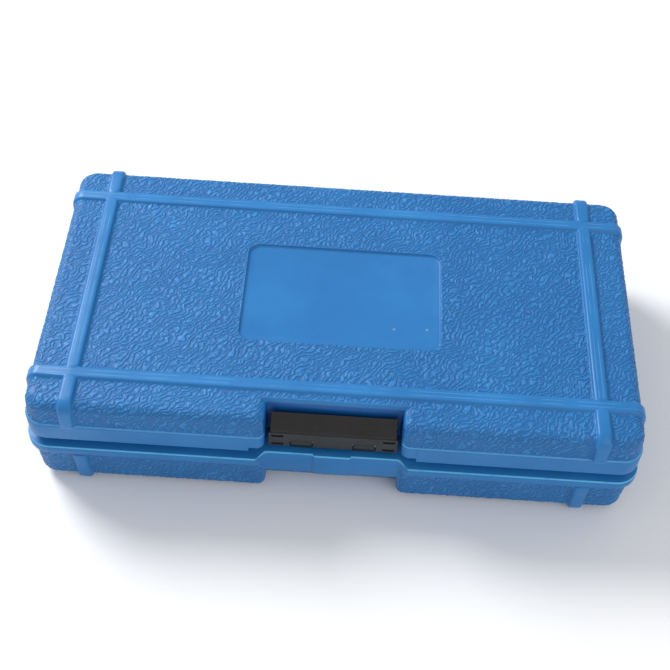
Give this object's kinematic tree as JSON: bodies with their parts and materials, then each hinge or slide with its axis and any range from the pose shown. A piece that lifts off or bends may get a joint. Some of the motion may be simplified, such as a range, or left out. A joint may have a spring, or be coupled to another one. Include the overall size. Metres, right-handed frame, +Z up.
{
  "type": "microchip scanner in carry case",
  "caption": "Small blue moulded carry case with a hinged lid and a latch, holding a handheld pet microchip scanner in cut foam.",
  "frame": {"origin": "bottom centre of the closed case's bounding box, hinge knuckles included", "axes": "+X towards the case's right as its latch is faced, +Y towards the hinges, +Z up"},
  "size_m": [0.296, 0.171, 0.0635],
  "materials": {
    "case_blue": "blow-moulded polyethylene, leather grain with smooth ribs, rim, label recess and latch pocket",
    "latch_black": "black moulded plastic, glossy blade and matte strip",
    "steel": "plain steel wire",
    "foam_grey": "fine open-cell charcoal polyurethane foam",
    "scanner_shell": "light grey ABS with a fine spark texture",
    "scanner_front": "light grey ABS with a fine spark texture",
    "lens_clear": "clear acrylic window",
    "lcd": "reflective liquid-crystal glass, blank",
    "button_blue": "blue silicone",
    "key_grey": "dark grey silicone",
    "led_green": "tinted diffused epoxy",
    "board_green": "green solder mask on glass-epoxy laminate",
    "black_plastic": "black moulded plastic",
    "copper": "enamelled copper winding",
    "cell_wrap": "shrink-wrapped steel can, plain",
    "nickel": "nickel-plated spring steel",
    "screw_steel": "blackened steel",
    "side_rubber": "soft overmould with a fine ribbed grip"
  },
  "bodies": {
    "case": {"base_shell": "case_blue", "hinge_pins": "steel", "latch_plate": "latch_black", "latch_pin": "steel", "base_foam": "foam_grey", "scanner_rear_housing": "scanner_shell", "scanner_front_housing": "scanner_front", "display_lens": "lens_clear", "status_led": "led_green", "circuit_board": "board_green", "display_module": "lcd", "tact_switches": "black_plastic", "buzzer": "black_plastic", "antenna_spool": "black_plastic", "antenna_coil": "copper", "antenna_leads": "copper", "battery_cover": "scanner_shell", "battery_cells": "cell_wrap", "battery_contacts": "nickel", "housing_screws": "screw_steel", "side_grips": "side_rubber"},
    "lid": {"lid_shell": "case_blue", "lid_foam": "foam_grey"},
    "lever": {"latch_lever": "latch_black"},
    "read_key": {"read_button": "button_blue"},
    "menu": {"menu_key": "key_grey"},
    "power": {"power_key": "key_grey"}
  },
  "joints": [
    {"name": "lid_hinge", "type": "hinge", "parent": "case", "child": "lid", "pos_m": [0, 0.0819, 0.0344], "axis": [-1, 0, 0], "range_deg": [0, 180]},
    {"name": "latch_hinge", "type": "hinge", "parent": "case", "child": "lever", "pos_m": [0, -0.0762, 0.0372], "axis": [1, 0, 0], "range_deg": [0, 80]},
    {"name": "read_press", "type": "slide", "parent": "case", "child": "read_key", "axis": [0, 0, -1], "range_m": [0, 0.001], "stiffness_N_per_m": 1500, "springref_m": -0.0005},
    {"name": "menu_press", "type": "slide", "parent": "case", "child": "menu", "axis": [0, 0, -1], "range_m": [0, 0.0008], "stiffness_N_per_m": 1500, "springref_m": -0.0005},
    {"name": "power_press", "type": "slide", "parent": "case", "child": "power", "axis": [0, 0, -1], "range_m": [0, 0.0008], "stiffness_N_per_m": 1500, "springref_m": -0.0005}
  ]
}
